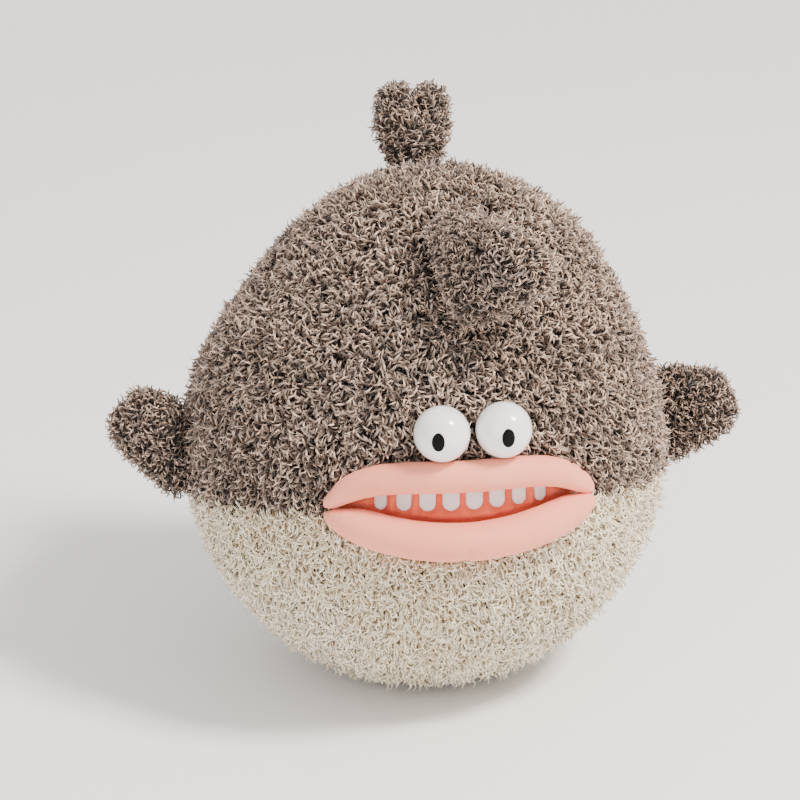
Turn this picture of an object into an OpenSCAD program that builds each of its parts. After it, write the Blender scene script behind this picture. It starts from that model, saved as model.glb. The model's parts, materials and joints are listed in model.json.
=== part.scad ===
// Round plush shark with a stuffed mouth, goggle eyes and soft fins.
// It faces -Y and rests on a flat patch of belly at z = 0.
// Left and right are the shark's own sides, so left is +X.
// Outer surfaces of the furry pieces are where the tips of the pile end.

/* [Body] */
// Radius of the round body over the fur
body_r = 137; // [114:1:165]
// Radius of the flat patch of belly that it rests on
rest_r = 46; // [30:1:60]
// Radius of the narrower rear part that carries the tail
rear_r = 113; // [95:1:120]
// How far the rear part stands proud of the round body
rear_rise = 22; // [10:1:40]
// Backward tilt of the rear part and the tail from upright
tail_tilt = 27; // [10:1:45]
// Depth of the body's fabric with its pile
body_pile = 15; // [10:0.5:18]
// How far the colour seam runs below the body's centre
seam_drop = 17; // [5:1:30]
// How steeply the colour seam rises towards the face
seam_tilt = 13.3; // [0:0.1:20]

/* [Mouth] */
// Direction of the middle of the mouth, sideways from the front
mouth_turn = -2; // [-6:0.5:6]
// Angle at the body's centre from the middle of the mouth to a corner
mouth_spread = 32.5; // [26:0.5:38]
// Height angle of the mouth's corners
mouth_lift = 4.1; // [0:0.1:8]
// Height angle from the corners up to the top of the upper lip's middle line
upper_rise = 8.9; // [8:0.1:10]
// Height angle from the corners down to the bottom of the lower lip's middle line
lower_fall = 6.3; // [6:0.1:10]
// Radius of the upper lip at its middle
upper_lip_r = 8.6; // [7:0.1:10]
// Radius of the lower lip at its middle
lower_lip_r = 10.5; // [8:0.1:10.6]
// Thickness of the lip fabric
lip_cloth = 1.5; // [1:0.1:2.5]
// Thickness of the mouth lining
lining_t = 3.5; // [1.5:0.1:3.6]

/* [Teeth] */
// Number of teeth
tooth_count = 8; // [4:1:10]
// Angle at the body's centre between two teeth
tooth_pitch = 5.7; // [5:0.1:7]
// Width of the middle teeth
tooth_w = 9; // [6:0.1:10]
// How much narrower the outermost teeth are
tooth_taper = 2.4; // [0:0.1:3]
// Length of a tooth from its root to its tip
tooth_l = 15; // [10:0.5:15]
// Height angle of the teeth's tips
tooth_tip_lat = 4.2; // [2:0.1:6]
// Thickness of the tooth felt
tooth_t = 2; // [1:0.1:2]

/* [Eyes] */
// Radius of an eyeball
eye_r = 15; // [12:0.5:16]
// Direction of each eye, sideways from the front
eye_turn = 7.3; // [6.6:0.1:12]
// Height angle of the eyes
eye_lift = 22.6; // [21:0.1:28]
// How far the eyeball's centre stands out of the fur
eye_out = 5; // [3:0.5:8]
// Width of a pupil
pupil_w = 6.8; // [4:0.1:8]
// Height of a pupil
pupil_h = 10.2; // [8.2:0.1:13]
// Depth of a pupil in the eyeball
pupil_t = 0.8; // [0.5:0.1:1.5]
// Sideways gaze of the right eye
right_gaze = -18.8; // [-40:0.1:20]
// Sideways gaze of the left eye
left_gaze = -2.9; // [-20:0.1:40]
// Upward gaze of both eyes
gaze_lift = 2; // [-10:0.5:30]
// Radius of the shank on the back of an eyeball
shank_r = 3; // [2:0.1:4]
// Radius of the washer that locks an eye inside the body
washer_r = 9; // [7:0.5:11]
// Thickness of the eye washer
washer_t = 2.5; // [1.5:0.1:4]

/* [Side fins] */
// Distance from a side fin's hinge line to the middle of its round tip
fin_reach = 22; // [15:1:30]
// Height of the round tip above the middle of the root
fin_sweep = 13; // [0:1:20]
// Length of the root from end ball to end ball
fin_root_l = 40; // [30:1:50]
// Radius of the rounded root
fin_root_r = 9; // [7:0.5:11]
// Radius of the fin's padded edge
fin_edge_r = 13; // [10:0.5:15]
// Height of the middle of the root above the body's centre
fin_height = 8; // [0:1:20]
// Backward tilt of the root line from upright
fin_tilt = 15; // [0:1:30]
// How far the left fin's tip hangs down
left_droop = 28; // [0:1:35]
// How far the left fin is turned forward
left_forward = 20; // [0:1:25]

/* [Top fin] */
// Direction of the top fin's root, sideways from the front
top_fin_turn = 6; // [0:1:12]
// Height angle of the middle of the top fin's root
top_fin_lift = 60; // [54:1:75]
// Length of the root from end ball to end ball
top_root_l = 44; // [30:1:50]
// Radius of the rounded root
top_root_r = 14; // [10:0.5:16]
// Height of the tip's centre above the root line
top_tip_out = 30; // [26:1:45]
// How far the tip hangs forward of the root's middle
top_tip_forward = 33; // [0:1:40]
// How far the tip leans to the left
top_tip_lean = 21; // [0:1:24]
// Radius of the tip
top_tip_r = 14; // [9:0.5:15]

/* [Tail] */
// Radius of the tail's neck
tail_neck_r = 14.5; // [11:0.5:17]
// Height of the tail's two lobes above the root
tail_lobe_l = 30; // [24:1:45]
// Radius of a tail lobe
tail_lobe_r = 10.6; // [9:0.1:13]
// Distance of each lobe from the tail's middle
tail_lobe_gap = 9.6; // [7:0.1:14]
// Sideways lean of the tail to the left
tail_lean = 4.5; // [0:0.5:8]
// Depth of the fins' and the tail's fabric with its pile
fin_pile = 6.5; // [4:0.5:7]

/* [Fits] */
// Gap between a moving piece and the body around it
gap = 0.4; // [0.3:0.05:0.8]

/* [Hidden] */

body_z = sqrt(body_r * body_r - rest_r * rest_r);
rear_dist = body_r + rear_rise - rear_r;
rear_mid = [0, rear_dist * sin(tail_tilt), body_z + rear_dist * cos(tail_tilt)];
skin_r = body_r - body_pile;
lip_seat = body_r - 0.5;
eye_seat = body_r + eye_out;
lining_r = skin_r + lining_t;
mouth_margin = 0.8;
mouth_top = lip_seat * sin(mouth_lift + upper_rise) + upper_lip_r + mouth_margin;
mouth_bottom = lip_seat * sin(mouth_lift - lower_fall) - lower_lip_r - mouth_margin;
mouth_corner_room = 4;
mouth_half_w = lip_seat * sin(mouth_spread) + mouth_corner_room;
fin_axis_out = 4;
top_axis_out = 9;
tail_axis_out = 7;
tip_back = 5;
tip_shift = [0, 1, 2];
tip_drop = [0, 9, -7];
fork_depth = 2;
fork_spread = 1;
pocket_r = fin_root_r + gap;
washer_seat = skin_r - washer_t - gap;
shank_end = 1.5;
shank_base = washer_seat - shank_end;
far = 3 * (body_r + rear_rise);
lip_rings = 27;
lip_sides = 14;
lip_end = 0.999;
lip_core_end = 0.96;
hull_fn = 28;
$fn = 96;

fur_grey = "#8a7a70";
fur_cream = "#eae2d2";
fill_white = "#f6f4ee";
lip_pink = "#f7b09a";
lining_coral = "#e5674a";

// A point at a direction from the body's centre: turn goes from the front to +X
function body_point(turn, lift, r) =
    [r * cos(lift) * sin(turn), -r * cos(lift) * cos(turn), body_z + r * sin(lift)];
function unit(v) = v / norm(v);

// Puts children on the body: local +Z points outwards and +Y towards the top
module on_body(turn, lift, r) {
    translate([0, 0, body_z]) rotate([90 - lift, 0, turn]) translate([0, 0, r]) children();
}

// ---- body ----

module egg_outline(inset) {
    front = body_r - inset;
    rear = rear_r - inset;
    lean = asin((front - rear) / rear_dist);
    intersection() {
        union() {
            circle(front);
            translate([0, rear_dist]) circle(rear);
            polygon([
                [0, 0], [front * cos(lean), front * sin(lean)],
                [rear * cos(lean), rear_dist + rear * sin(lean)], [0, rear_dist]
            ]);
        }
        translate([0, -far / 2]) square([far / 2, far]);
    }
}

module egg(inset) {
    translate([0, 0, body_z]) rotate([-tail_tilt, 0, 0]) rotate_extrude() egg_outline(inset);
}

// Everything above the colour seam, or below it with the mirror
module above_seam() {
    translate([0, 0, body_z - seam_drop]) rotate([-seam_tilt, 0, 0])
        translate([-far, -far, 0]) cube([2 * far, 2 * far, far]);
}

module below_seam() {
    translate([0, 0, body_z - seam_drop]) rotate([-seam_tilt, 0, 0])
        translate([-far, -far, -far]) cube([2 * far, 2 * far, far]);
}

// The half of space on one side: 1 for the left, -1 for the right
module half_space(side) {
    translate([side > 0 ? 0 : -far, -far, -far]) cube([far, 2 * far, 2 * far]);
}

module above_ground() {
    translate([-far, -far, 0]) cube([2 * far, 2 * far, far]);
}

module mouth_shape() {
    h = (mouth_top - mouth_bottom) / 2;
    rotate([90, 0, 0]) linear_extrude(far) union() {
        for (x = [-1, 1]) translate([x * (mouth_half_w - h), 0]) circle(h);
        translate([h - mouth_half_w, -h]) square([2 * (mouth_half_w - h), 2 * h]);
    }
}

// A straight tunnel with round ends, from the body's middle out through the face
module mouth_tunnel() {
    translate([0, 0, body_z + (mouth_top + mouth_bottom) / 2]) rotate([0, 0, mouth_turn])
        translate([0, -body_r / 3, 0]) mouth_shape();
}

module eye_clearance(side) {
    on_body(side * eye_turn, eye_lift, eye_seat) {
        sphere(eye_r + gap);
        translate([0, 0, -eye_seat + shank_base - gap]) cylinder(eye_seat - shank_base, r = shank_r + gap);
    }
}

module washer_clearance(side) {
    on_body(side * eye_turn, eye_lift, washer_seat - gap)
        cylinder(body_pile, r = washer_r + gap);
}

module pockets() {
    for (side = [-1, 1]) {
        eye_clearance(side);
        side_fin_place(side) fin_pocket(fin_root_l, pocket_r);
    }
    top_fin_place() fin_pocket(top_root_l, top_root_r + gap);
    tail_place() sphere(tail_neck_r + gap);
}

// A capsule along local Y that a fin's rounded root sits in
module fin_pocket(length, r) {
    rotate([90, 0, 0]) cylinder(length, r = r, center = true);
    for (y = [-1, 1]) translate([0, y * length / 2, 0]) sphere(r);
}

module panel(side) {
    intersection() {
        difference() {
            egg(0);
            egg(body_pile);
            mouth_tunnel();
            pockets();
        }
        intersection() {
            above_ground();
            half_space(side);
            children();
        }
    }
}

module back_panel_left() { color(fur_grey) panel(1) above_seam(); }
module back_panel_right() { color(fur_grey) panel(-1) above_seam(); }
module belly_panel_left() { color(fur_cream) panel(1) below_seam(); }
module belly_panel_right() { color(fur_cream) panel(-1) below_seam(); }

module body_stuffing() {
    color(fill_white) difference() {
        egg(body_pile);
        for (side = [-1, 1]) washer_clearance(side);
        pockets();
    }
}

// ---- fins and tail ----

module side_fin_place(side) {
    translate([side * (body_r + fin_axis_out), 0, body_z + fin_height])
        rotate([90 - fin_tilt, 0, 0]) rotate([0, side * 90, 0]) children();
}

// Local Z points away from the body and local Y runs along the root line
module side_fin_form(side, inset) {
    droop = side > 0 ? left_droop : 0;
    forward = side > 0 ? left_forward : 0;
    rotate([0, -side * forward, 0]) hull() {
        for (y = [-1, 1]) translate([0, y * fin_root_l / 2, 0]) fin_ball(fin_root_r - inset);
        rotate([droop, 0, 0]) for (place = [[0, -tip_back, 0], tip_shift, tip_drop])
            translate([0, fin_sweep, fin_reach] + place) fin_ball(fin_edge_r - inset);
    }
}

module fin_ball(r) { sphere(r, $fn = hull_fn); }

module side_fin_cover(side) {
    color(fur_grey) side_fin_place(side) difference() {
        side_fin_form(side, 0);
        side_fin_form(side, fin_pile);
    }
}

module left_fin_cover() { side_fin_cover(1); }
module right_fin_cover() { side_fin_cover(-1); }
module left_fin_stuffing() { color(fill_white) side_fin_place(1) side_fin_form(1, fin_pile); }
module right_fin_stuffing() { color(fill_white) side_fin_place(-1) side_fin_form(-1, fin_pile); }

module top_fin_place() { on_body(top_fin_turn, top_fin_lift, body_r + top_axis_out) children(); }

module top_fin_form(inset) {
    hull() {
        for (y = [-1, 1]) translate([0, y * top_root_l / 2, 0]) fin_ball(top_root_r - inset);
        translate([top_tip_lean, -top_tip_forward, top_tip_out]) fin_ball(top_tip_r - inset);
        translate([top_tip_lean / 2, top_tip_r - top_tip_forward, top_tip_out]) fin_ball(top_tip_r - inset);
    }
}

module top_fin_cover() {
    color(fur_grey) top_fin_place() difference() {
        top_fin_form(0);
        top_fin_form(fin_pile);
    }
}

module top_fin_stuffing() { color(fill_white) top_fin_place() top_fin_form(fin_pile); }

module tail_place() {
    translate(rear_mid) rotate([-tail_tilt, tail_lean, 0])
        translate([0, 0, rear_r + tail_axis_out]) children();
}

module tail_form(inset) {
    lobe_r = tail_lobe_r - inset;
    fork = tail_lobe_l / 2 - fork_depth;
    hull() {
        fin_ball(tail_neck_r - inset);
        for (x = [-1, 1]) translate([x * tail_lobe_gap, 0, fork]) fin_ball(lobe_r);
    }
    for (x = [-1, 1]) hull() {
        translate([x * (tail_lobe_gap + fork_spread), 0, fork]) fin_ball(lobe_r);
        translate([x * tail_lobe_gap, 0, tail_lobe_l]) fin_ball(lobe_r);
    }
}

module tail_cover() {
    color(fur_grey) tail_place() difference() {
        tail_form(0);
        tail_form(fin_pile);
    }
}

module tail_stuffing() { color(fill_white) tail_place() tail_form(fin_pile); }

// ---- mouth ----

// Middle line of a lip, with s going from -1 at the right corner to 1 at the left
function lip_mid(s, rise, power) =
    body_point(mouth_turn + mouth_spread * s, mouth_lift + rise * (1 - pow(abs(s), power)), lip_seat);
function lip_step(i, end) = end * sin(90 * (2 * i / (lip_rings - 1) - 1));

// Ring of points around the middle line
function lip_ring(s, rise, power, r, less) =
    let (
        mid = lip_mid(s, rise, power),
        along = unit(lip_mid(s + 0.01, rise, power) - lip_mid(s - 0.01, rise, power)),
        side = unit(cross(along, mid - [0, 0, body_z])),
        out = cross(side, along),
        thick = r * sqrt(1 - pow(abs(s), 6)) - less
    )
    [for (k = [0 : lip_sides - 1])
        mid + thick * (cos(360 * k / lip_sides) * out + sin(360 * k / lip_sides) * side)];

module lip_form(rise, power, r, less, end) {
    rings = [for (i = [0 : lip_rings - 1]) lip_ring(lip_step(i, end), rise, power, r, less)];
    last = (lip_rings - 1) * lip_sides;
    polyhedron(
        points = [for (ring = rings) each ring],
        faces = concat(
            [[for (k = [0 : lip_sides - 1]) k]],
            [[for (k = [lip_sides - 1 : -1 : 0]) last + k]],
            [for (i = [0 : lip_rings - 2], k = [0 : lip_sides - 1])
                let (a = i * lip_sides + k, b = i * lip_sides + (k + 1) % lip_sides)
                [a, a + lip_sides, b + lip_sides, b]]
        ),
        convexity = 6
    );
}

module upper_lip_form(less, end) {
    intersection() {
        lip_form(upper_rise, 4.5, upper_lip_r, less, end);
        above_seam();
    }
}

module lower_lip_form(less, end) {
    intersection() {
        lip_form(-lower_fall, 2, lower_lip_r, less, end);
        below_seam();
    }
}

module upper_lip_cover() {
    color(lip_pink) difference() {
        upper_lip_form(0, lip_end);
        upper_lip_form(lip_cloth, lip_core_end);
        for (side = [-1, 1]) eye_clearance(side);
    }
}

module upper_lip_stuffing() {
    color(fill_white) difference() {
        upper_lip_form(lip_cloth, lip_core_end);
        for (side = [-1, 1]) on_body(side * eye_turn, eye_lift, eye_seat) sphere(eye_r + gap + lip_cloth);
    }
}

module lower_lip_cover() {
    color(lip_pink) difference() {
        lower_lip_form(0, lip_end);
        lower_lip_form(lip_cloth, lip_core_end);
    }
}

module lower_lip_stuffing() { color(fill_white) lower_lip_form(lip_cloth, lip_core_end); }

module mouth_lining() {
    color(lining_coral) difference() {
        intersection() {
            egg(body_pile - lining_t);
            mouth_tunnel();
        }
        egg(body_pile);
    }
}

module tooth(w) {
    linear_extrude(tooth_t) {
        circle(w / 2);
        translate([-w / 2, 0]) square([w, tooth_l - w / 2]);
    }
}

module teeth() {
    color("white") for (i = [0 : tooth_count - 1]) {
        place = i - (tooth_count - 1) / 2;
        w = tooth_w - tooth_taper * pow(abs(place) * 2 / (tooth_count - 1), 2);
        on_body(mouth_turn + place * tooth_pitch, tooth_tip_lat + tooth_l / 2 / lining_r * 180 / PI, lining_r)
            translate([0, (w - tooth_l) / 2, 0]) tooth(w);
    }
}

// ---- eyes ----

// Oval plug along the gaze, from the eyeball's centre outwards
module pupil_plug(gaze) {
    rotate([90 - gaze_lift, 0, gaze]) linear_extrude(2 * eye_r) {
        for (y = [-1, 1]) translate([0, y * (pupil_h - pupil_w) / 2]) circle(pupil_w / 2);
        square([pupil_w, pupil_h - pupil_w], center = true);
    }
}

module eyeball(side, gaze) {
    color("white") {
        difference() {
            union() {
                translate(body_point(side * eye_turn, eye_lift, eye_seat)) sphere(eye_r);
                on_body(side * eye_turn, eye_lift, shank_base) cylinder(eye_seat - shank_base, r = shank_r);
            }
            translate(body_point(side * eye_turn, eye_lift, eye_seat)) difference() {
                pupil_plug(gaze);
                sphere(eye_r - pupil_t);
            }
        }
    }
}

module pupil(side, gaze) {
    color("black") translate(body_point(side * eye_turn, eye_lift, eye_seat)) difference() {
        intersection() {
            sphere(eye_r);
            pupil_plug(gaze);
        }
        sphere(eye_r - pupil_t);
    }
}

module eye_washer(side) {
    color("ivory") on_body(side * eye_turn, eye_lift, washer_seat) difference() {
        cylinder(washer_t, r = washer_r);
        translate([0, 0, -1]) cylinder(washer_t + 2, r = shank_r);
    }
}

module left_eyeball() { eyeball(1, left_gaze); }
module right_eyeball() { eyeball(-1, right_gaze); }
module left_pupil() { pupil(1, left_gaze); }
module right_pupil() { pupil(-1, right_gaze); }
module left_eye_washer() { eye_washer(1); }
module right_eye_washer() { eye_washer(-1); }

back_panel_left();
back_panel_right();
belly_panel_left();
belly_panel_right();
body_stuffing();
left_fin_cover();
left_fin_stuffing();
right_fin_cover();
right_fin_stuffing();
top_fin_cover();
top_fin_stuffing();
tail_cover();
tail_stuffing();
upper_lip_cover();
upper_lip_stuffing();
lower_lip_cover();
lower_lip_stuffing();
mouth_lining();
teeth();
left_eyeball();
right_eyeball();
left_pupil();
right_pupil();
left_eye_washer();
right_eye_washer();
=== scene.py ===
import json
import math
import bmesh
import bpy
import numpy as np
from mathutils import Matrix, Vector
from mathutils.bvhtree import BVHTree

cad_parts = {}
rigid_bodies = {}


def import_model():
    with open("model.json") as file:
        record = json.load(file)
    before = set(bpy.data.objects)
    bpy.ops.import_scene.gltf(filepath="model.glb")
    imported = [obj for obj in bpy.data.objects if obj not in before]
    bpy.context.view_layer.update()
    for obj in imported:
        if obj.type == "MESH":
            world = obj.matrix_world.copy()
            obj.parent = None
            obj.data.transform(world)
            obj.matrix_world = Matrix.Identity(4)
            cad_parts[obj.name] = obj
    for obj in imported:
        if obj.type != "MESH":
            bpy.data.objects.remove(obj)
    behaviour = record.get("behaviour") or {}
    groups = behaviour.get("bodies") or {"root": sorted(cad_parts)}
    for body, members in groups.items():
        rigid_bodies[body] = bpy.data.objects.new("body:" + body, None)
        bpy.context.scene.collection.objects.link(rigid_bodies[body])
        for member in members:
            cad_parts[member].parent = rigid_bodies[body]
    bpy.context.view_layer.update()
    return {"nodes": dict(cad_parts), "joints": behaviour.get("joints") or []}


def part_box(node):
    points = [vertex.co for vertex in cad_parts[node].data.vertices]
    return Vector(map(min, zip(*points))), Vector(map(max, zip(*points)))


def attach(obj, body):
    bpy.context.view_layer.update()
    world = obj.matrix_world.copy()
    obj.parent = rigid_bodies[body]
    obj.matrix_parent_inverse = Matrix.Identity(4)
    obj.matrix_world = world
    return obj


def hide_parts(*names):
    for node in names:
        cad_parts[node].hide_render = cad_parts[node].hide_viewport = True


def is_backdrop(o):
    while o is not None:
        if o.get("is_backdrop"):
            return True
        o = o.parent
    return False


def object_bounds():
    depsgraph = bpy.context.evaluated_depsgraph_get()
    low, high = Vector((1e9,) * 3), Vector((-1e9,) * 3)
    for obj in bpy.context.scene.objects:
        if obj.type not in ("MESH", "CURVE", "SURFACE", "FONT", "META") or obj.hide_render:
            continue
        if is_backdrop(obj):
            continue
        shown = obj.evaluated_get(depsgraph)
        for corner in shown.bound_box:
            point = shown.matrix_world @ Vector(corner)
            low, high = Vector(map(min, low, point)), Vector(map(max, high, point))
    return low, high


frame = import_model()
nodes = frame["nodes"]

# the whole toy and where its middle is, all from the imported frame
stuffingLow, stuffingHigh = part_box("body_stuffing")
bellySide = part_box("belly_panel_left")[1]
bodyRadius = bellySide.x
pileDepth = bodyRadius - stuffingHigh.x
middle = Vector((0, 0, stuffingLow.z + stuffingHigh.x))
weldGap = 0.00002


# camera, floor and light

view = {"azimuth": -11, "elevation": 20, "distance": 2.1, "lens": 168, "aim": (-0.0117, 0.0107, 0.1519)}
studio = {"floorSize": 6.0, "wallHeight": 3.2, "wallBack": 2.6, "curveRadius": 1.2}
lights = {
    "key": {"place": (1.2, -0.9, 2.0), "size": 0.5, "power": 105, "colour": (1.0, 0.93, 0.84)},
    "fill": {"place": (-1.5, -1.8, 0.7), "size": 1.8, "power": 16, "colour": (1.0, 0.98, 0.96)},
    "low": {"place": (0.5, -1.9, 0.25), "size": 1.2, "power": 8, "colour": (1.0, 0.97, 0.92)},
}


def aimAt(thing, target):
    thing.rotation_euler = (Vector(target) - thing.location).to_track_quat("-Z", "Y").to_euler()


def makeCamera():
    az = math.radians(view["azimuth"])
    el = math.radians(view["elevation"])
    away = Vector((math.sin(az) * math.cos(el), -math.cos(az) * math.cos(el), math.sin(el)))
    data = bpy.data.cameras.new("camera")
    data.lens = view["lens"]
    data.sensor_width = 36
    camera = bpy.data.objects.new("camera", data)
    camera.location = Vector(view["aim"]) + away * view["distance"]
    aimAt(camera, view["aim"])
    bpy.context.scene.collection.objects.link(camera)
    bpy.context.scene.camera = camera


def makeLights():
    for name, spec in lights.items():
        data = bpy.data.lights.new(name, "AREA")
        data.energy = spec["power"]
        data.size = spec["size"]
        data.color = spec["colour"]
        lamp = bpy.data.objects.new(name, data)
        lamp.location = spec["place"]
        aimAt(lamp, (0, 0, 0.15))
        bpy.context.scene.collection.objects.link(lamp)
    world = bpy.data.worlds.new("studio")
    bpy.context.scene.world = world
    world.use_nodes = True
    background = world.node_tree.nodes["Background"]
    background.inputs["Color"].default_value = (1.0, 0.99, 0.97, 1)
    background.inputs["Strength"].default_value = 1.1


def newObject(name, bm, smooth=True):
    mesh = bpy.data.meshes.new(name)
    bm.to_mesh(mesh)
    bm.free()
    thing = bpy.data.objects.new(name, mesh)
    bpy.context.scene.collection.objects.link(thing)
    if smooth:
        mesh.polygons.foreach_set("use_smooth", [True] * len(mesh.polygons))
    return thing


def extrudeEdges(bm, edges):
    made = bmesh.ops.extrude_edge_only(bm, edges=edges)["geom"]
    verts = [g for g in made if isinstance(g, bmesh.types.BMVert)]
    edges = [g for g in made if isinstance(g, bmesh.types.BMEdge) and all(v in verts for v in g.verts)]
    return verts, edges


def makeFloor(material):
    half = studio["floorSize"] / 2
    bm = bmesh.new()
    left = bm.verts.new((-half, -half, 0))
    right = bm.verts.new((half, -half, 0))
    edges = [bm.edges.new((left, right))]
    moves = [Vector((0, half + studio["wallBack"] - studio["curveRadius"], 0))]
    steps = 8
    for i in range(steps):
        a = math.radians(90 * (i + 0.5) / steps)
        length = studio["curveRadius"] * math.radians(90 / steps)
        moves.append(Vector((0, length * math.cos(a), length * math.sin(a))))
    moves.append(Vector((0, 0, studio["wallHeight"])))
    for move in moves:
        verts, edges = extrudeEdges(bm, edges)
        bmesh.ops.translate(bm, verts=verts, vec=move)
    bmesh.ops.recalc_face_normals(bm, faces=bm.faces)
    floor = newObject("studio_floor", bm)
    floor.data.materials.append(material)
    floor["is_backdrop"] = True


# materials

def newMaterial(name):
    material = bpy.data.materials.new(name)
    material.use_nodes = True
    return material, material.node_tree.nodes, material.node_tree.links.new


def ramp(treeNodes, stops):
    node = treeNodes.new("ShaderNodeValToRGB")
    while len(node.color_ramp.elements) < len(stops):
        node.color_ramp.elements.new(0.5)
    for element, (place, colour) in zip(node.color_ramp.elements, stops):
        element.position = place
        element.color = (*colour, 1)
    return node


def mixColour(treeNodes, link, factor, a, b, kind="MIX"):
    node = treeNodes.new("ShaderNodeMix")
    node.data_type = "RGBA"
    node.blend_type = kind
    for socket, value in ((node.inputs[0], factor), (node.inputs[6], a), (node.inputs[7], b)):
        if hasattr(value, "is_linked"):
            link(value, socket)
        else:
            socket.default_value = value
    return node.outputs[2]


def noise(treeNodes, link, scale, detail=3, roughness=0.6):
    place = treeNodes.new("ShaderNodeTexCoord")
    node = treeNodes.new("ShaderNodeTexNoise")
    node.inputs["Scale"].default_value = scale
    node.inputs["Detail"].default_value = detail
    node.inputs["Roughness"].default_value = roughness
    link(place.outputs["Object"], node.inputs["Vector"])
    return node


def furMaterial(name, spec):
    material, made, link = newMaterial(name)
    shader = made["Principled BSDF"]
    along = made.new("ShaderNodeAttribute")
    along.attribute_name = "along"
    shade = made.new("ShaderNodeAttribute")
    shade.attribute_name = "shade"
    # colour along each lock: the middle stop is the fur's own colour, the dark root stop is painted shade
    # deep in the pile and the pale tip stop is a painted highlight on the tips
    length = ramp(made, [(0.15, spec["root"]), (0.5, spec["middle"]), (0.95, spec["tip"])])
    link(along.outputs["Fac"], length.inputs["Fac"])
    strand = ramp(made, [(0.0, spec["darkest"]), (0.55, (1, 1, 1)), (1.0, spec["lightest"])])
    link(shade.outputs["Fac"], strand.inputs["Fac"])
    coloured = mixColour(made, link, 1.0, length.outputs["Color"], strand.outputs["Color"], "MULTIPLY")
    patch = noise(made, link, spec["patchScale"], 3, 0.6)
    patchTone = ramp(made, [(0.3, spec["patchDark"]), (0.7, (1, 1, 1))])
    link(patch.outputs["Fac"], patchTone.inputs["Fac"])
    final = mixColour(made, link, 1.0, coloured, patchTone.outputs["Color"], "MULTIPLY")
    link(final, shader.inputs["Base Color"])
    shader.inputs["Roughness"].default_value = spec["roughness"]
    shader.inputs["Sheen Weight"].default_value = spec["sheen"]
    shader.inputs["Sheen Roughness"].default_value = 0.4
    shader.inputs["Specular IOR Level"].default_value = spec["specular"]
    return material


def clothMaterial(name, spec):
    material, made, link = newMaterial(name)
    shader = made["Principled BSDF"]
    patch = noise(made, link, spec["patchScale"], 4, 0.6)
    tone = ramp(made, [(0.3, spec["dark"]), (0.7, spec["light"])])
    link(patch.outputs["Fac"], tone.inputs["Fac"])
    nap = noise(made, link, spec["napScale"], 4, 0.7)
    napTone = ramp(made, [(0.3, spec["napDark"]), (0.75, (1, 1, 1))])
    link(nap.outputs["Fac"], napTone.inputs["Fac"])
    final = mixColour(made, link, 1.0, tone.outputs["Color"], napTone.outputs["Color"], "MULTIPLY")
    link(final, shader.inputs["Base Color"])
    bump = made.new("ShaderNodeBump")
    bump.inputs["Strength"].default_value = spec["bump"]
    bump.inputs["Distance"].default_value = spec["bumpDepth"]
    link(nap.outputs["Fac"], bump.inputs["Height"])
    link(bump.outputs["Normal"], shader.inputs["Normal"])
    shader.inputs["Roughness"].default_value = spec["roughness"]
    shader.inputs["Sheen Weight"].default_value = spec["sheen"]
    shader.inputs["Sheen Roughness"].default_value = 0.35
    shader.inputs["Subsurface Weight"].default_value = spec.get("glow", 0.0)
    shader.inputs["Subsurface Radius"].default_value = (0.004, 0.002, 0.001)
    return material


def plasticMaterial(name, colour, roughness, coat):
    material, made, link = newMaterial(name)
    shader = made["Principled BSDF"]
    cloud = noise(made, link, 60, 2, 0.5)
    dark = tuple(c * 0.94 for c in colour)
    tone = ramp(made, [(0.35, dark), (0.65, colour)])
    link(cloud.outputs["Fac"], tone.inputs["Fac"])
    link(tone.outputs["Color"], shader.inputs["Base Color"])
    fine = noise(made, link, 420, 3, 0.6)
    bump = made.new("ShaderNodeBump")
    bump.inputs["Strength"].default_value = 0.03
    bump.inputs["Distance"].default_value = 0.0002
    link(fine.outputs["Fac"], bump.inputs["Height"])
    link(bump.outputs["Normal"], shader.inputs["Normal"])
    shader.inputs["Roughness"].default_value = roughness
    shader.inputs["Coat Weight"].default_value = coat
    shader.inputs["Specular IOR Level"].default_value = 0.1 if coat < 0.1 else 0.5
    shader.inputs["Coat Roughness"].default_value = 0.06
    return material


greyFurLook = {
    # root stop: painted shade deep in the pile; tip stop: painted highlight on the lit tips
    "root": (0.022, 0.010, 0.005), "middle": (0.150, 0.094, 0.066), "tip": (0.74, 0.56, 0.45),
    "darkest": (0.32, 0.27, 0.24), "lightest": (2.0, 1.88, 1.80),
    "patchScale": 22, "patchDark": (0.66, 0.63, 0.61), "roughness": 0.42, "sheen": 0.25, "specular": 0.6,
}
creamFurLook = {
    # root stop: painted shade deep in the pile; tip stop: painted highlight on the lit tips
    "root": (0.80, 0.62, 0.40), "middle": (0.98, 0.85, 0.64), "tip": (1.0, 0.93, 0.80),
    "darkest": (0.90, 0.86, 0.80), "lightest": (1.1, 1.1, 1.1),
    "patchScale": 20, "patchDark": (0.93, 0.91, 0.86), "roughness": 0.5, "sheen": 0.25, "specular": 0.5,
}
lipLook = {
    "dark": (0.95, 0.31, 0.20), "light": (1.0, 0.37, 0.25), "patchScale": 18, "napScale": 1500,
    "napDark": (0.93, 0.88, 0.86), "bump": 0.35, "bumpDepth": 0.0003, "roughness": 0.75, "sheen": 0.15,
    "glow": 0.05,
}
liningLook = {
    "dark": (0.80, 0.13, 0.06), "light": (0.92, 0.22, 0.12), "patchScale": 60, "napScale": 900,
    "napDark": (0.78, 0.60, 0.55), "bump": 0.8, "bumpDepth": 0.0008, "roughness": 0.85, "sheen": 0.25,
}
feltLook = {
    "dark": (0.78, 0.76, 0.77), "light": (0.90, 0.89, 0.89), "patchScale": 120, "napScale": 1800,
    "napDark": (0.80, 0.79, 0.80), "bump": 0.6, "bumpDepth": 0.0004, "roughness": 0.9, "sheen": 0.3,
}
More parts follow.
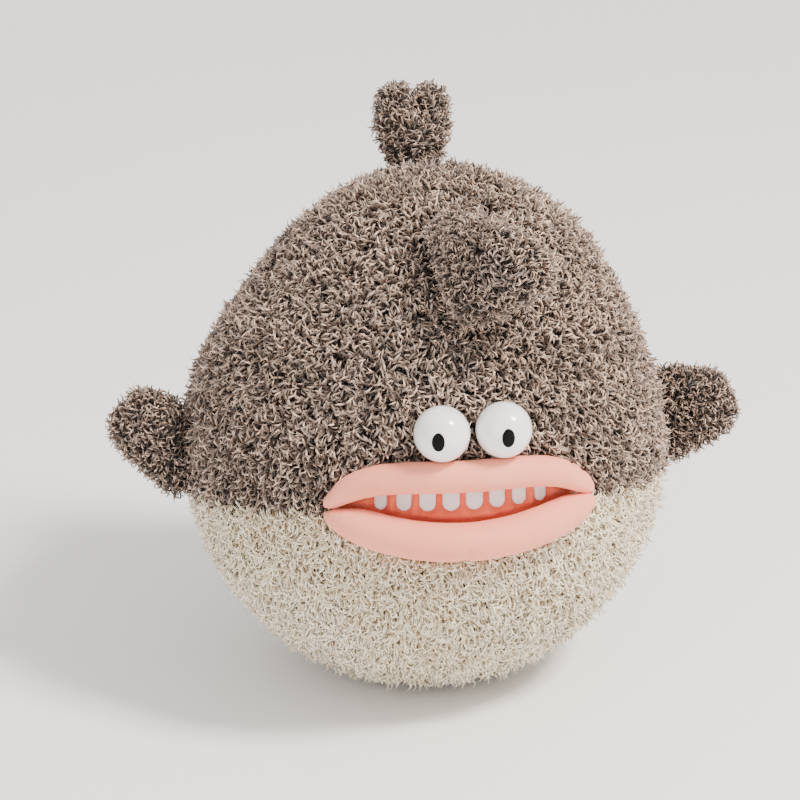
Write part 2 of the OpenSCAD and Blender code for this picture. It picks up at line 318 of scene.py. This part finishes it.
fillLook = {
    "dark": (0.84, 0.83, 0.80), "light": (0.93, 0.92, 0.90), "patchScale": 40, "napScale": 600,
    "napDark": (0.85, 0.85, 0.84), "bump": 0.8, "bumpDepth": 0.001, "roughness": 0.95, "sheen": 0.4,
}
floorLook = {
    "dark": (0.95, 0.95, 0.95), "light": (0.97, 0.97, 0.97), "patchScale": 1.5, "napScale": 300,
    "napDark": (0.98, 0.98, 0.98), "bump": 0.02, "bumpDepth": 0.0002, "roughness": 0.8, "sheen": 0.0,
}

# fur

curls = {
    "sides": 3, "length": 0.0145, "rootRadius": 0.00072, "taper": (1.05, 1.0, 0.85, 0.5),
    # turn of each step in degrees: how the lock bends on its way from root to tip
    "bends": [
        (10, 38, 58, 62), (6, 30, 50, 66), (16, 48, 60, 40),
        (8, -28, 60, 74), (12, 34, -48, 60), (5, 22, 62, 70),
    ],
    "twist": 12,
}


def makeCurl(name, bends):
    bm = bmesh.new()
    along = bm.verts.layers.float.new("along")
    bmesh.ops.create_circle(bm, cap_ends=False, segments=curls["sides"], radius=curls["rootRadius"])
    edges = list(bm.edges)
    centre = Vector((0, 0, 0))
    heading = Matrix.Identity(3)
    step = curls["length"] / len(bends)
    for i, bend in enumerate(bends):
        verts, edges = extrudeEdges(bm, edges)
        twist = Matrix.Rotation(math.radians(curls["twist"]), 3, "Z")
        turn = Matrix.Rotation(math.radians(bend), 3, "X") @ twist
        bmesh.ops.rotate(bm, verts=verts, cent=centre, matrix=heading @ turn @ heading.inverted())
        heading = heading @ turn
        move = heading @ Vector((0, 0, step))
        bmesh.ops.translate(bm, verts=verts, vec=move)
        centre = centre + move
        for v in verts:
            v[along] = (i + 1) / len(bends)
            v.co = centre + (v.co - centre) * curls["taper"][i]
    bmesh.ops.pointmerge(bm, verts=verts, merge_co=centre)
    for v in bm.verts:
        if (v.co - centre).length < 1e-7:
            v[along] = 1.0
    bmesh.ops.recalc_face_normals(bm, faces=bm.faces)
    return newObject(name, bm)


def makeCurls():
    collection = bpy.data.collections.new("curls")
    bpy.context.scene.collection.children.link(collection)
    for i, bends in enumerate(curls["bends"]):
        curl = makeCurl("curl_%02d" % i, bends)
        bpy.context.scene.collection.objects.unlink(curl)
        collection.objects.link(curl)
    return collection


def furNodes(name, collection, spec):
    tree = bpy.data.node_groups.new(name, "GeometryNodeTree")
    tree.interface.new_socket(name="Geometry", in_out="INPUT", socket_type="NodeSocketGeometry")
    tree.interface.new_socket(name="Geometry", in_out="OUTPUT", socket_type="NodeSocketGeometry")
    made = tree.nodes
    link = tree.links.new
    start = made.new("NodeGroupInput")
    end = made.new("NodeGroupOutput")

    def attribute(title, kind):
        node = made.new("GeometryNodeInputNamedAttribute")
        node.data_type = kind
        node.inputs["Name"].default_value = title
        return node.outputs["Attribute"]

    def vectorMath(operation, a, b=None, scale=None):
        node = made.new("ShaderNodeVectorMath")
        node.operation = operation
        for socket, value in ((node.inputs[0], a), (node.inputs[1], b)):
            if value is None:
                continue
            if hasattr(value, "is_linked"):
                link(value, socket)
            else:
                socket.default_value = value
        if scale is not None:
            if hasattr(scale, "is_linked"):
                link(scale, node.inputs["Scale"])
            else:
                node.inputs["Scale"].default_value = scale
        return node.outputs["Vector"]

    def times(a, b):
        node = made.new("ShaderNodeMath")
        node.operation = "MULTIPLY"
        for socket, value in ((node.inputs[0], a), (node.inputs[1], b)):
            if hasattr(value, "is_linked"):
                link(value, socket)
            else:
                socket.default_value = value
        return node.outputs["Value"]

    def randomVector(seed):
        node = made.new("FunctionNodeRandomValue")
        node.data_type = "FLOAT_VECTOR"
        node.inputs["Min"].default_value = (-1, -1, -1)
        node.inputs["Max"].default_value = (1, 1, 1)
        node.inputs["Seed"].default_value = seed
        return node.outputs["Value"]

    def randomNumber(low, high, seed):
        node = made.new("FunctionNodeRandomValue")
        node.data_type = "FLOAT"
        node.inputs[2].default_value = low
        node.inputs[3].default_value = high
        node.inputs["Seed"].default_value = seed
        return node.outputs[1]

    def wave(scale, offset):
        place = made.new("GeometryNodeInputPosition")
        moved = vectorMath("ADD", place.outputs["Position"], (offset, offset * 0.7, offset * 1.3))
        node = made.new("ShaderNodeTexNoise")
        node.inputs["Scale"].default_value = scale
        node.inputs["Detail"].default_value = 2
        link(moved, node.inputs["Vector"])
        return vectorMath("SUBTRACT", node.outputs["Color"], (0.5, 0.5, 0.5))

    scatter = made.new("GeometryNodeDistributePointsOnFaces")
    scatter.distribute_method = "RANDOM"
    link(start.outputs[0], scatter.inputs["Mesh"])
    link(times(attribute("coverage", "FLOAT"), spec["perSquareMetre"]), scatter.inputs["Density"])
    scatter.inputs["Seed"].default_value = spec["seed"]

    lean = vectorMath("SCALE", attribute("comb", "FLOAT_VECTOR"), scale=spec["lean"])
    swirl = vectorMath("SCALE", wave(spec["clumpScale"], 3.1), scale=spec["clump"])
    stray = vectorMath("SCALE", randomVector(spec["seed"] + 1), scale=spec["stray"])
    sway = vectorMath("ADD", lean, vectorMath("ADD", swirl, stray))
    upright = vectorMath("ADD", scatter.outputs["Normal"], sway)
    hook = vectorMath("ADD", vectorMath("SCALE", wave(spec["clumpScale"] * 1.7, 8.4), scale=2.4),
                      vectorMath("SCALE", randomVector(spec["seed"] + 2), scale=0.7))
    turn = made.new("FunctionNodeAxesToRotation")
    turn.primary_axis = "Z"
    turn.secondary_axis = "Y"
    link(upright, turn.inputs[0])
    link(hook, turn.inputs[1])

    keep = made.new("GeometryNodeStoreNamedAttribute")
    keep.data_type = "FLOAT"
    keep.domain = "POINT"
    keep.inputs["Name"].default_value = "shade"
    link(scatter.outputs["Points"], keep.inputs["Geometry"])
    link(randomNumber(0, 1, spec["seed"] + 3), keep.inputs["Value"])

    source = made.new("GeometryNodeCollectionInfo")
    source.inputs["Collection"].default_value = collection
    source.inputs["Separate Children"].default_value = True
    source.inputs["Reset Children"].default_value = True
    instance = made.new("GeometryNodeInstanceOnPoints")
    link(keep.outputs["Geometry"], instance.inputs["Points"])
    link(source.outputs["Instances"], instance.inputs["Instance"])
    instance.inputs["Pick Instance"].default_value = True
    pick = made.new("FunctionNodeRandomValue")
    pick.data_type = "INT"
    pick.inputs[4].default_value = 0
    pick.inputs[5].default_value = len(curls["bends"]) - 1
    pick.inputs["Seed"].default_value = spec["seed"] + 4
    link(pick.outputs[2], instance.inputs["Instance Index"])
    link(turn.outputs["Rotation"], instance.inputs["Rotation"])
    length = randomNumber(spec["shortest"], spec["longest"], spec["seed"] + 5)
    size = times(attribute("pile", "FLOAT"), length)
    link(size, instance.inputs["Scale"])
    solid = made.new("GeometryNodeRealizeInstances")
    link(instance.outputs["Instances"], solid.inputs["Geometry"])
    link(solid.outputs["Geometry"], end.inputs[0])
    return tree


def growFur(skin, name, collection, spec, material, tidyTips):
    copy = skin.copy()
    copy.data = skin.data.copy()
    bpy.context.scene.collection.objects.link(copy)
    modifier = copy.modifiers.new("fur", "NODES")
    modifier.node_group = furNodes(name, collection, spec)
    depsgraph = bpy.context.evaluated_depsgraph_get()
    mesh = bpy.data.meshes.new_from_object(copy.evaluated_get(depsgraph), depsgraph=depsgraph)
    bpy.data.objects.remove(copy)
    mesh.name = name
    points = np.zeros(len(mesh.vertices) * 3, np.float32)
    mesh.vertices.foreach_get("co", points)
    mesh.vertices.foreach_set("co", tidyTips(points.reshape(-1, 3)).astype(np.float32).ravel())
    mesh.update()
    mesh.materials.clear()
    mesh.materials.append(material)
    fur = bpy.data.objects.new(name, mesh)
    bpy.context.scene.collection.objects.link(fur)
    print(name, len(mesh.polygons), "faces")
    return fur


# body

def smoothed(bm):
    bmesh.ops.smooth_vert(bm, verts=bm.verts, factor=0.5, use_axis_x=True, use_axis_y=True, use_axis_z=True)


def treeOf(*names):
    verts = []
    faces = []
    for name in names:
        mesh = nodes[name].data
        first = len(verts)
        verts += [v.co.copy() for v in mesh.vertices]
        faces += [[first + i for i in p.vertices] for p in mesh.polygons]
    return BVHTree.FromPolygons(verts, faces)


def direction(turn, lift):
    t = math.radians(turn)
    e = math.radians(lift)
    return Vector((math.cos(e) * math.sin(t), -math.cos(e) * math.cos(t), math.sin(e)))


# the upper back leans to the left
bodySkin = {"subdivisions": 6, "depth": 0.0085, "lean": 0.0115, "leanFrom": 0.045, "leanTo": 0.115}
upperLip = treeOf("upper_lip_cover")
lowerLip = treeOf("lower_lip_cover")
stuffingTree = treeOf("body_stuffing")
panelTree = treeOf("back_panel_left", "back_panel_right", "belly_panel_left", "belly_panel_right")
eyes = {}
for side in ("left", "right"):
    low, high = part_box(side + "_eyeball")
    eyes[side] = {"radius": (high.x - low.x) / 2}


def overMouth(away):
    # 1 under a lip, 2 between the lips, 0 outside them
    if upperLip.ray_cast(middle, away)[0] or lowerLip.ray_cast(middle, away)[0]:
        return 1
    turn = math.degrees(math.atan2(away.x, -away.y))
    lift = math.degrees(math.asin(away.z))
    above = any(upperLip.ray_cast(middle, direction(turn, lift + k))[0] for k in range(1, 16, 2))
    below = any(lowerLip.ray_cast(middle, direction(turn, lift - k))[0] for k in range(1, 16, 2))
    return 2 if above and below else 0


def makeBodySkin():
    bm = bmesh.new()
    bmesh.ops.create_icosphere(bm, subdivisions=bodySkin["subdivisions"], radius=1.0)
    for v in bm.verts:
        away = v.co.normalized()
        hit = stuffingTree.ray_cast(middle + away * 0.3, -away)[0]
        v.co = hit + away * (pileDepth - bodySkin["depth"])
        high = (v.co.z - middle.z - bodySkin["leanFrom"]) / (bodySkin["leanTo"] - bodySkin["leanFrom"])
        high = min(max(high, 0), 1)
        v.co.x += bodySkin["lean"] * high * high * (3 - 2 * high)
    smoothed(bm)
    return bm


seam = {"drop": 0.017, "tilt": 13.3}
seamPoint = middle - Vector((0, 0, seam["drop"]))
seamNormal = Vector((0, math.sin(math.radians(seam["tilt"])), math.cos(math.radians(seam["tilt"]))))

# fur patches of the body: above or below the colour seam, and the stretch of compass directions
patches = {
    "back_fur_front_right": (True, -75, 0), "back_fur_front_left": (True, 0, 75),
    "back_fur_side_right": (True, -130, -75), "back_fur_side_left": (True, 75, 130),
    "back_fur_rear_right": (True, -180, -130), "back_fur_rear_left": (True, 130, 180),
    "belly_fur_front_right": (False, -75, 0), "belly_fur_front_left": (False, 0, 75),
    "belly_fur_rear_right": (False, -180, -75), "belly_fur_rear_left": (False, 75, 180),
}
bodyFur = {
    "perSquareMetre": 375000, "seed": 11, "lean": 0.75, "clumpScale": 70, "clump": 1.9, "stray": 0.40,
    "shortest": 0.72, "longest": 1.12,
}
bellyFur = {
    "perSquareMetre": 360000, "seed": 51, "lean": 0.95, "clumpScale": 50, "clump": 1.6, "stray": 0.30,
    "shortest": 0.75, "longest": 1.10,
}


# pile round the eyes: locks above an eye droop over it, those below are shorter
brow = {"bare": 0.98, "above": 1.15, "below": 0.7, "droop": 5.0, "near": 1.35}


def setAttributes(skin, coverageOf, combOf, pileOf):
    mesh = skin.data
    values = {
        "coverage": ("FLOAT", "value", [coverageOf(v) for v in mesh.vertices]),
        "comb": ("FLOAT_VECTOR", "vector", [c for v in mesh.vertices for c in combOf(v)]),
        "pile": ("FLOAT", "value", [pileOf(v) for v in mesh.vertices]),
    }
    for title, (kind, field, numbers) in values.items():
        mesh.attributes.new(title, kind, "POINT")
        mesh.attributes[title].data.foreach_set(field, numbers)


def downhill(v):
    down = Vector((0, 0, -1))
    return down - v.normal * v.normal.dot(down)


def restZone(v):
    return v.co.z < 0.012


def clearTips(points):
    # tips lie flat on the ground, part round the eyeballs and lie over the edges of the lips
    for lip in lipTrees:
        for i in np.nonzero(points[:, 1] < -0.08)[0]:
            place, normal, _, _ = lip.find_nearest(Vector(points[i]), 0.009)
            if place and (Vector(points[i]) - place).dot(normal) < 0:
                points[i] = place + normal * 0.0005
    points[:, 2] = np.maximum(points[:, 2], 0.0003)
    for eye in eyes.values():
        centre = np.array(eye["centre"])
        out = points - centre
        reach = np.linalg.norm(out, axis=1)
        limit = eye["radius"] + 0.0005
        inside = reach < limit
        points[inside] = centre + out[inside] / reach[inside, None] * limit
    return points


def patchSkin(bm, name, above, west, east):
    part = bm.copy()
    away = []
    for face in part.faces:
        centre = face.calc_center_median()
        isAbove = (centre - seamPoint).dot(seamNormal) > 0
        turn = math.degrees(math.atan2(centre.x, -centre.y))
        if isAbove != above or not west <= turn < east:
            away.append(face)
    bmesh.ops.delete(part, geom=away, context="FACES")
    return newObject(name, part)


def makeBody(collection, materials):
    bm = makeBodySkin()
    everything = bm.verts[:] + bm.edges[:] + bm.faces[:]
    bmesh.ops.bisect_plane(bm, geom=everything, plane_co=seamPoint, plane_no=seamNormal)
    mouthKey = bm.verts.layers.float.new("mouth")
    between = set()
    for v in bm.verts:
        if v.co.y < -0.05 and abs(v.co.z - middle.z) < 0.07:
            where = overMouth((v.co - middle).normalized())
            v[mouthKey] = 1.0 if where else 0.0
            if where == 2:
                between.add(v)
    for _ in range(2):
        between |= {edge.other_vert(v) for v in between for edge in v.link_edges}
    bmesh.ops.delete(bm, geom=list(between), context="VERTS")
    pieces = []
    for name, (above, west, east) in patches.items():
        skin = patchSkin(bm, name.replace("fur", "cloth"), above, west, east)
        mouth = skin.data.attributes["mouth"]

        def coverageOf(v):
            if mouth.data[v.index].value > 0.5:
                return 0
            for eye in eyes.values():
                if (v.co - eye["centre"]).length < eye["radius"] * brow["bare"]:
                    return 0
            return 0.6 if restZone(v) else 1

        def pileOf(v):
            size = 0.6 if restZone(v) else 1
            for eye in eyes.values():
                if (v.co - eye["centre"]).length < eye["radius"] * brow["near"]:
                    size = brow["above"] if v.co.z > eye["centre"].z else brow["below"]
            return size

        def combOf(v):
            for eye in eyes.values():
                if (v.co - eye["centre"]).length < eye["radius"] * brow["near"] and v.co.z > eye["centre"].z:
                    return downhill(v) * brow["droop"]
            return downhill(v)

        setAttributes(skin, coverageOf, combOf, pileOf)
        spec = dict(bodyFur if above else bellyFur)
        spec["seed"] += 7 * len(pieces)
        colour = "grey" if above else "cream"
        fur = growFur(skin, name, collection, spec, materials[colour + "Fur"], clearTips)
        skin.data.materials.append(materials[colour + "Cloth"])
        pieces.append((skin, fur, colour))
    bm.free()
    for skin, fur, colour in pieces:
        for piece in (skin, fur):
            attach(piece, "body")
    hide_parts("back_panel_left", "body_stuffing")
    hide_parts("back_panel_right")
    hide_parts("belly_panel_left")
    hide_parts("belly_panel_right")


# fins and tail

def relax(thing, rounds, grow):
    bm = bmesh.new()
    bm.from_mesh(thing.data)
    for _ in range(rounds):
        smoothed(bm)
    bm.normal_update()
    for v in bm.verts:
        v.co = v.co + v.normal * grow
    bm.to_mesh(thing.data)
    bm.free()


def remeshed(name, source, voxel, grow, rounds):
    bm = bmesh.new()
    bm.from_mesh(nodes[source].data)
    bmesh.ops.remove_doubles(bm, verts=bm.verts, dist=weldGap)
    thing = newObject(name, bm)
    thing.data.materials.clear()
    modifier = thing.modifiers.new("even", "REMESH")
    modifier.mode = "VOXEL"
    modifier.voxel_size = voxel
    applyModifiers(thing)
    relax(thing, rounds, grow)
    thing.data.polygons.foreach_set("use_smooth", [True] * len(thing.data.polygons))
    return thing


def applyModifiers(thing):
    depsgraph = bpy.context.evaluated_depsgraph_get()
    mesh = bpy.data.meshes.new_from_object(thing.evaluated_get(depsgraph), depsgraph=depsgraph)
    old = thing.data
    thing.modifiers.clear()
    thing.data = mesh
    mesh.name = old.name + "_made"
    bpy.data.meshes.remove(old)


finFur = {
    "perSquareMetre": 470000, "seed": 201, "lean": 0.9, "clumpScale": 85, "clump": 2.0, "stray": 0.5,
    "shortest": 0.50, "longest": 0.75,
}
finPieces = {
    "left_fin": {"grow": 0.0022, "pile": 1.0},
    "right_fin": {"grow": 0.0022, "pile": 1.0},
    "top_fin": {"grow": 0.0026, "pile": 1.15},
    "tail": {"grow": 0.0030, "pile": 1.15},
}


def makeFin(name, spec, number, collection, materials):
    skin = remeshed(name + "_cloth", name + "_stuffing", 0.0022, spec["grow"], 3)

    def coverageOf(v):
        out = v.co - middle
        hit = panelTree.ray_cast(middle + out.normalized() * 0.4, -out.normalized())[0]
        surface = (hit - middle).length if hit else bodyRadius
        return 0 if out.length < surface - 0.006 else 1

    root = Vector(next(joint["pos_m"] for joint in frame["joints"] if joint["child"] == name))

    def combOf(v):
        out = (v.co - root).normalized()
        return out - v.normal * v.normal.dot(out)

    setAttributes(skin, coverageOf, combOf, lambda v: spec["pile"])
    look = dict(finFur)
    look["seed"] += 13 * number
    fur = growFur(skin, name + "_fur", collection, look, materials["greyFur"], lambda points: points)
    skin.data.materials.append(materials["greyCloth"])
    for piece in (skin, fur):
        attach(piece, name)
    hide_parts(name + "_cover", name + "_stuffing")


# mouth

lipCloth = {
    "voxel": 0.0022, "grow": 0.0003, "pressure": 4.0, "mass": 0.0002, "frames": 14,
    "cap": 0.0018,
}
# grooves across a lip: where they run, their half width in degrees and which edge they pull in
pleats = {
    "upper_lip": [
        {"turn": 24.5, "width": 0.55, "depth": 0.0016, "side": 1},
        {"turn": 27.0, "width": 0.5, "depth": 0.0019, "side": 1},
        {"turn": -33.0, "width": 0.8, "depth": 0.0010, "side": 1},
    ],
    "lower_lip": [
        {"turn": -2.5, "width": 0.55, "depth": 0.0017, "side": -1},
        {"turn": -33.5, "width": 0.8, "depth": 0.0012, "side": 1},
    ],
}


lipTrees = []


def makeLip(name, material):
    bm = bmesh.new()
    bm.from_mesh(nodes[name + "_cover"].data)
    bmesh.ops.remove_doubles(bm, verts=bm.verts, dist=weldGap)
    core = treeOf(name + "_stuffing")
    inner = [v for v in bm.verts if core.find_nearest(v.co)[3] < 0.0004]
    bmesh.ops.delete(bm, geom=inner, context="VERTS")
    bmesh.ops.holes_fill(bm, edges=[e for e in bm.edges if e.is_boundary], sides=0)
    lip = newObject(name, bm)
    lip.data.materials.clear()
    modifier = lip.modifiers.new("even", "REMESH")
    modifier.mode = "VOXEL"
    modifier.voxel_size = lipCloth["voxel"]
    applyModifiers(lip)
    relax(lip, 3, lipCloth["grow"])
    inflate(lip)
    gather(lip, name)
    finish = lip.modifiers.new("fine", "SUBSURF")
    finish.levels = 1
    finish.render_levels = 1
    applyModifiers(lip)
    lip.data.materials.append(material)
    lip.data.polygons.foreach_set("use_smooth", [True] * len(lip.data.polygons))
    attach(lip, "body")
    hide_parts(name + "_cover", name + "_stuffing")
    places = [v.co for v in lip.data.vertices]
    faces = [p.vertices for p in lip.data.polygons]
    lipTrees.append(BVHTree.FromPolygons(places, faces))
    print(name, len(lip.data.polygons), "faces")


def gather(lip, name):
    # stitches pull short grooves into the padding
    for v in lip.data.vertices:
        away = v.co - middle
        turn = math.degrees(math.atan2(away.x, -away.y))
        depth = 0
        for pleat in pleats[name]:
            across = (turn - pleat["turn"]) / pleat["width"]
            edge = min(max((v.normal.z * pleat["side"] + 0.25) / 0.8, 0), 1)
            depth += pleat["depth"] * math.exp(-across * across) * edge
        v.co = v.co - v.normal * depth


def inflate(thing):
    # at this mass and pressure the cover swells by less than a tenth of a millimetre,
    # so the form of a lip comes from the remeshing, the grooves and the subdivision
    start = np.zeros(len(thing.data.vertices) * 3, np.float32)
    thing.data.vertices.foreach_get("co", start)
    print(thing.name, "cloth")
    cloth = thing.modifiers.new("cloth", "CLOTH")
    cloth.settings.use_pressure = True
    cloth.settings.uniform_pressure_force = lipCloth["pressure"]
    cloth.settings.effector_weights.gravity = 0
    cloth.settings.quality = 6
    cloth.settings.mass = lipCloth["mass"]
    scene = bpy.context.scene
    cloth.point_cache.frame_start = 1
    cloth.point_cache.frame_end = lipCloth["frames"]
    for frameNumber in range(1, lipCloth["frames"] + 1):
        scene.frame_set(frameNumber)
    applyModifiers(thing)
    scene.frame_set(1)
    end = np.zeros(len(thing.data.vertices) * 3, np.float32)
    thing.data.vertices.foreach_get("co", end)
    start = start.reshape(-1, 3)
    move = end.reshape(-1, 3) - start
    reach = np.linalg.norm(move, axis=1)
    print(thing.name, "cloth moved up to %.2f mm" % (reach.max() * 1000))
    scale = np.minimum(1, lipCloth["cap"] / np.maximum(reach, 1e-9))
    thing.data.vertices.foreach_set("co", (start + move * scale[:, None]).astype(np.float32).ravel())
    thing.data.update()


liningPadding = {"rise": 0.0042, "reach": 0.0024, "blur": 3}


def makeLining(material):
    lining = remeshed("mouth_velvet", "mouth_lining", 0.0011, 0.0003, 2)
    toothTree = treeOf("teeth")
    bm = bmesh.new()
    bm.from_mesh(lining.data)
    rise = {}
    for v in bm.verts:
        away = (v.co - middle).normalized()
        if v.normal.dot(away) > 0.5 and overMouth(away) == 2:
            far = min(toothTree.find_nearest(v.co)[3] / liningPadding["reach"], 1)
            rise[v] = far * far * (3 - 2 * far)
        else:
            rise[v] = 0
    for _ in range(liningPadding["blur"]):
        rise = {v: (h + sum(rise[e.other_vert(v)] for e in v.link_edges)) / (1 + len(v.link_edges))
                for v, h in rise.items()}
    for v, h in rise.items():
        v.co = v.co + (v.co - middle).normalized() * liningPadding["rise"] * h
    bm.to_mesh(lining.data)
    bm.free()
    lining.data.materials.append(material)
    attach(lining, "body")
    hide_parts("mouth_lining")


def makeTeeth(material):
    teeth = remeshed("felt_teeth", "teeth", 0.0007, 0.0003, 3)
    teeth.data.materials.append(material)
    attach(teeth, "body")
    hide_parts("teeth")


# eyes

eyeball = {"rings": 48, "shankSides": 20, "shankRadius": 0.003, "shankStart": 0.95, "shankLength": 0.010}
pupilOval = {
    "sides": 48, "halfWidth": 0.0034, "halfHeight": 0.0051, "proud": 0.0002, "depth": 0.0012,
    "rings": (0.8, 0.75, 0.66, 0.5),
}


def makeEye(side, materials):
    eye = eyes[side]
    bm = bmesh.new()
    bmesh.ops.create_uvsphere(bm, u_segments=eyeball["rings"], v_segments=eyeball["rings"] // 2,
                              radius=eye["radius"])
    shaft = bmesh.ops.create_circle(bm, cap_ends=True, segments=eyeball["shankSides"],
                                    radius=eyeball["shankRadius"])["verts"]
    bmesh.ops.translate(bm, verts=shaft, vec=(0, 0, -eye["radius"] * eyeball["shankStart"]))
    face = [f for f in bm.faces if all(v in shaft for v in f.verts)]
    made = bmesh.ops.extrude_face_region(bm, geom=face)["geom"]
    tipVerts = [g for g in made if isinstance(g, bmesh.types.BMVert)]
    bmesh.ops.translate(bm, verts=tipVerts, vec=(0, 0, -eyeball["shankLength"]))
    bmesh.ops.recalc_face_normals(bm, faces=bm.faces)
    turn = eye["axis"].to_track_quat("Z", "Y").to_matrix().to_4x4()
    bmesh.ops.transform(bm, matrix=Matrix.Translation(eye["centre"]) @ turn, verts=bm.verts)
    ball = newObject(side + "_eye_ball", bm)
    ball.data.materials.append(materials["eyeWhite"])
    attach(ball, side + "_eye")
    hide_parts(side + "_eyeball")


def makePupil(side, materials):
    # an oval of black plastic that stands a hair proud of the ball
    eye = eyes[side]
    low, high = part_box(side + "_pupil")
    gaze = ((low + high) / 2 - eye["centre"]).normalized()
    bm = bmesh.new()
    bmesh.ops.create_circle(bm, cap_ends=False, segments=pupilOval["sides"], radius=1.0)
    edges = list(bm.edges)
    rim = list(bm.edges)
    for ratio in pupilOval["rings"]:
        verts, edges = extrudeEdges(bm, edges)
        bmesh.ops.scale(bm, vec=(ratio, ratio, 1), verts=verts)
    bmesh.ops.contextual_create(bm, geom=edges)
    bmesh.ops.scale(bm, vec=(pupilOval["halfWidth"], pupilOval["halfHeight"], 1), verts=bm.verts)
    for v in bm.verts:
        v.co.z = math.sqrt((eye["radius"] + pupilOval["proud"]) ** 2 - v.co.x ** 2 - v.co.y ** 2)
    below = extrudeEdges(bm, rim)[0]
    bmesh.ops.translate(bm, verts=below, vec=(0, 0, -pupilOval["depth"]))
    bmesh.ops.contextual_create(bm, geom=[e for e in bm.edges if e.is_boundary])
    bmesh.ops.recalc_face_normals(bm, faces=bm.faces)
    turn = gaze.to_track_quat("Z", "Y").to_matrix().to_4x4()
    bmesh.ops.transform(bm, matrix=Matrix.Translation(eye["centre"]) @ turn, verts=bm.verts)
    pupil = newObject(side + "_pupil_oval", bm)
    pupil.data.materials.append(materials["pupil"])
    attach(pupil, side + "_eye")
    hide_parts(side + "_pupil")


# all together

makeCamera()
makeLights()
materials = {
    "greyFur": furMaterial("grey_fur", greyFurLook),
    "creamFur": furMaterial("cream_fur", creamFurLook),
    "lip": clothMaterial("lip_velour", lipLook),
    "lining": clothMaterial("mouth_velvet", liningLook),
    "felt": clothMaterial("tooth_felt", feltLook),
    "fill": clothMaterial("fibrefill", fillLook),
    # the sheet under the grey pile: near-black painted shade for the deep pile between the locks
    "greyCloth": clothMaterial("grey_backing", {
        **fillLook, "dark": (0.03, 0.022, 0.018), "light": (0.07, 0.052, 0.042), "napDark": (0.5, 0.5, 0.5),
        "patchScale": 300}),
    # the sheet under the cream pile: darker painted shade for the deep pile between the locks
    "creamCloth": clothMaterial("cream_backing", {
        **fillLook, "dark": (0.40, 0.33, 0.24), "light": (0.58, 0.50, 0.39), "napDark": (0.7, 0.7, 0.7),
        "patchScale": 300}),
    "eyeWhite": plasticMaterial("eye_white", (0.90, 0.90, 0.89), 0.2, 0.5),
    "pupil": plasticMaterial("pupil_black", (0.002, 0.002, 0.002), 0.3, 0.0),
    "washer": plasticMaterial("washer_plastic", (0.78, 0.77, 0.73), 0.5, 0.0),
    "floor": clothMaterial("studio_paper", floorLook),
}
makeFloor(materials["floor"])
for joint in frame["joints"]:
    if joint["name"].endswith("_eye_turn"):
        side = joint["name"].split("_")[0]
        eyes[side]["centre"] = Vector(joint["pos_m"])
        eyes[side]["axis"] = Vector(joint["axis"]).normalized()
for name, node in nodes.items():
    if name.endswith("_stuffing"):
        node.data.materials.clear()
        node.data.materials.append(materials["fill"])
    elif name.endswith("_washer"):
        node.data.materials.clear()
        node.data.materials.append(materials["washer"])
print("eyes and mouth")
for side in ("left", "right"):
    makeEye(side, materials)
    makePupil(side, materials)
for name in ("upper_lip", "lower_lip"):
    makeLip(name, materials["lip"])
makeLining(materials["lining"])
makeTeeth(materials["felt"])
print("fur")
curlShapes = makeCurls()
makeBody(curlShapes, materials)
for number, (name, spec) in enumerate(finPieces.items()):
    makeFin(name, spec, number, curlShapes, materials)
for curl in list(curlShapes.objects):
    bpy.data.objects.remove(curl)
bpy.data.collections.remove(curlShapes)

total = sum(len(thing.data.polygons) for thing in bpy.context.scene.objects
            if thing.type == "MESH" and not thing.hide_render)
print("whole toy", total, "faces")
low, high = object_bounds()
